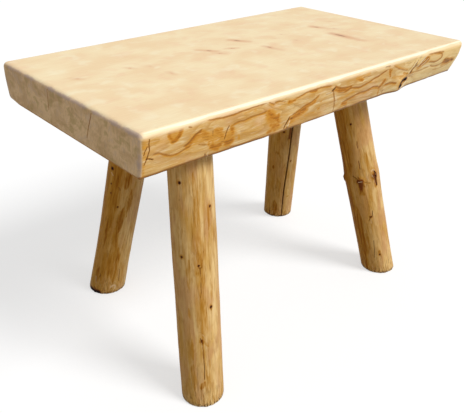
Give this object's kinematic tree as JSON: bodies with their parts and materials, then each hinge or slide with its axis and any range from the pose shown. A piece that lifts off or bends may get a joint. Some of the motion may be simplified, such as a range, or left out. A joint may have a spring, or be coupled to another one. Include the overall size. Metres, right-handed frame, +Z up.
{
  "type": "rustic slab table",
  "caption": "Low rustic table: a thick live-edge half-log slab on splayed peeled-pole legs, held by blind wedged round tenons.",
  "frame": {"origin": "on the floor, under the middle of the table's whole outline", "axes": "+Z up, X along the slab (-X is the left end), -Y is the front"},
  "size_m": [0.914, 0.5744, 0.626],
  "materials": {
    "slab": "sanded pale softwood under a thin satin varnish, orange-brown where the drawknife cut into the rings",
    "pole": "peeled softwood pole, varnished, with pin knots and drying checks",
    "wedge": "bare sawn hardwood"
  },
  "bodies": {
    "root": {"slab_top": "slab", "leg_front_left": "pole", "fox_wedge_front_left": "wedge", "leg_back_left": "pole", "fox_wedge_back_left": "wedge", "leg_back_right": "pole", "fox_wedge_back_right": "wedge", "leg_front_right": "pole", "fox_wedge_front_right": "wedge"}
  },
  "joints": []
}
